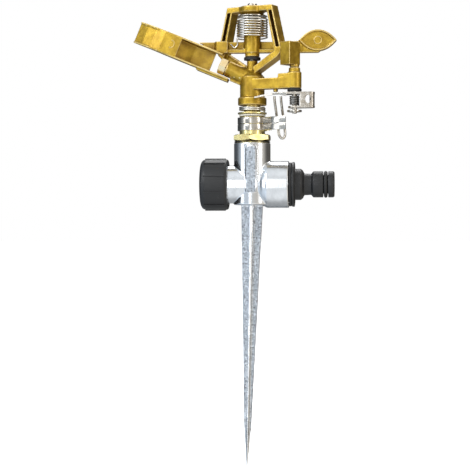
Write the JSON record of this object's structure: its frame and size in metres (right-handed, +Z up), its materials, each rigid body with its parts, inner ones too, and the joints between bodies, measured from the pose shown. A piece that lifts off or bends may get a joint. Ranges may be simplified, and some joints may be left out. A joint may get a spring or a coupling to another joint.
{
  "type": "impact sprinkler",
  "caption": "Impact sprinkler on a cast ground spike, with a sprung rocker arm, a part-circle trip, a hose nipple and a capped second inlet.",
  "frame": {"origin": "on the bearing axis at ground level, where the hub's underside meets the top of the spike", "axes": "+Z up along the bearing axis; +X along the hose inlet, out of the hose nipple; -Y towards the side the rocker arm swings to"},
  "size_m": [0.1305, 0.0362, 0.2954],
  "materials": {
    "cast_zinc": "bright zinc die casting, polished faces and rough cast grooves",
    "black_plastic": "satin moulded black plastic",
    "black_rubber": "matt black rubber",
    "brass": "turned bright brass",
    "white_nylon": "off-white nylon",
    "spring_steel": "bright drawn spring wire",
    "dark_spring": "dark oiled spring wire",
    "nickel": "nickel-plated steel",
    "gold_paint": "metallic gold paint on zinc casting",
    "nozzle_brass": "pale bright brass"
  },
  "bodies": {
    "base": {"spike_base": "cast_zinc", "hose_nipple": "black_plastic", "nipple_seal": "black_rubber", "nipple_o_ring": "black_rubber", "bearing_nut": "brass", "nut_seal": "black_rubber", "thrust_washer_lower": "white_nylon"},
    "cap_carrier": {"end_cap_seal": "black_rubber"},
    "cap": {"end_cap": "black_plastic"},
    "collar_lower": {"trip_collar_lower": "nickel"},
    "collar_upper": {"trip_collar_upper": "nickel"},
    "head": {"head_body": "gold_paint", "nozzle": "nozzle_brass", "bearing_sleeve": "brass", "sleeve_washer_nylon": "white_nylon", "sleeve_washer_rubber": "black_rubber", "thrust_washer_upper": "brass", "bearing_spring": "spring_steel", "arm_washer": "black_rubber", "spring_seat": "nickel", "arm_pin": "nickel", "lug_washer": "black_rubber", "trip_spring": "dark_spring", "arm_spring": "spring_steel"},
    "arm": {"rocker_arm": "gold_paint"},
    "trip": {"trip_block": "gold_paint", "trip_pin": "nickel", "trip_lever": "nickel", "trip_clip": "nickel"},
    "wire": {"trip_wire": "nickel"}
  },
  "joints": [
    {"name": "head_swivel", "type": "hinge", "parent": "base", "child": "head", "pos_m": [0, 0, 0.06], "axis": [0, 0, 1], "continuous": true},
    {"name": "arm_swing", "type": "hinge", "parent": "head", "child": "arm", "pos_m": [0, 0, 0.1], "axis": [0, 0, 1], "range_deg": [0, 100], "stiffness_Nm_per_rad": 0.012, "deforming": ["arm_spring"]},
    {"name": "trip_flip", "type": "hinge", "parent": "head", "child": "trip", "pos_m": [0.02746, -0.01281, 0.0709], "axis": [0, 0, 1], "range_deg": [0, 22]},
    {"name": "wire_flip", "type": "hinge", "parent": "trip", "child": "wire", "pos_m": [0.01665, -0.0082, 0.0692], "axis": [1, 0, 0], "range_deg": [0, 88]},
    {"name": "collar_lower_turn", "type": "hinge", "parent": "base", "child": "collar_lower", "pos_m": [0, 0, 0.0504], "axis": [0, 0, 1], "continuous": true},
    {"name": "collar_upper_turn", "type": "hinge", "parent": "base", "child": "collar_upper", "pos_m": [0, 0, 0.0547], "axis": [0, 0, 1], "continuous": true},
    {"name": "cap_travel", "type": "slide", "parent": "base", "child": "cap_carrier", "axis": [-1, 0, 0], "range_m": [0, 0.0109]},
    {"name": "cap_unscrew", "type": "hinge", "parent": "cap_carrier", "child": "cap", "pos_m": [-0.024, 0, 0.0143], "axis": [-1, 0, 0], "range_deg": [0, 2160]}
  ],
  "couplings": [
    {"joint": "cap_travel", "follows": "cap_unscrew", "m_per_rad": 0.0002887}
  ]
}
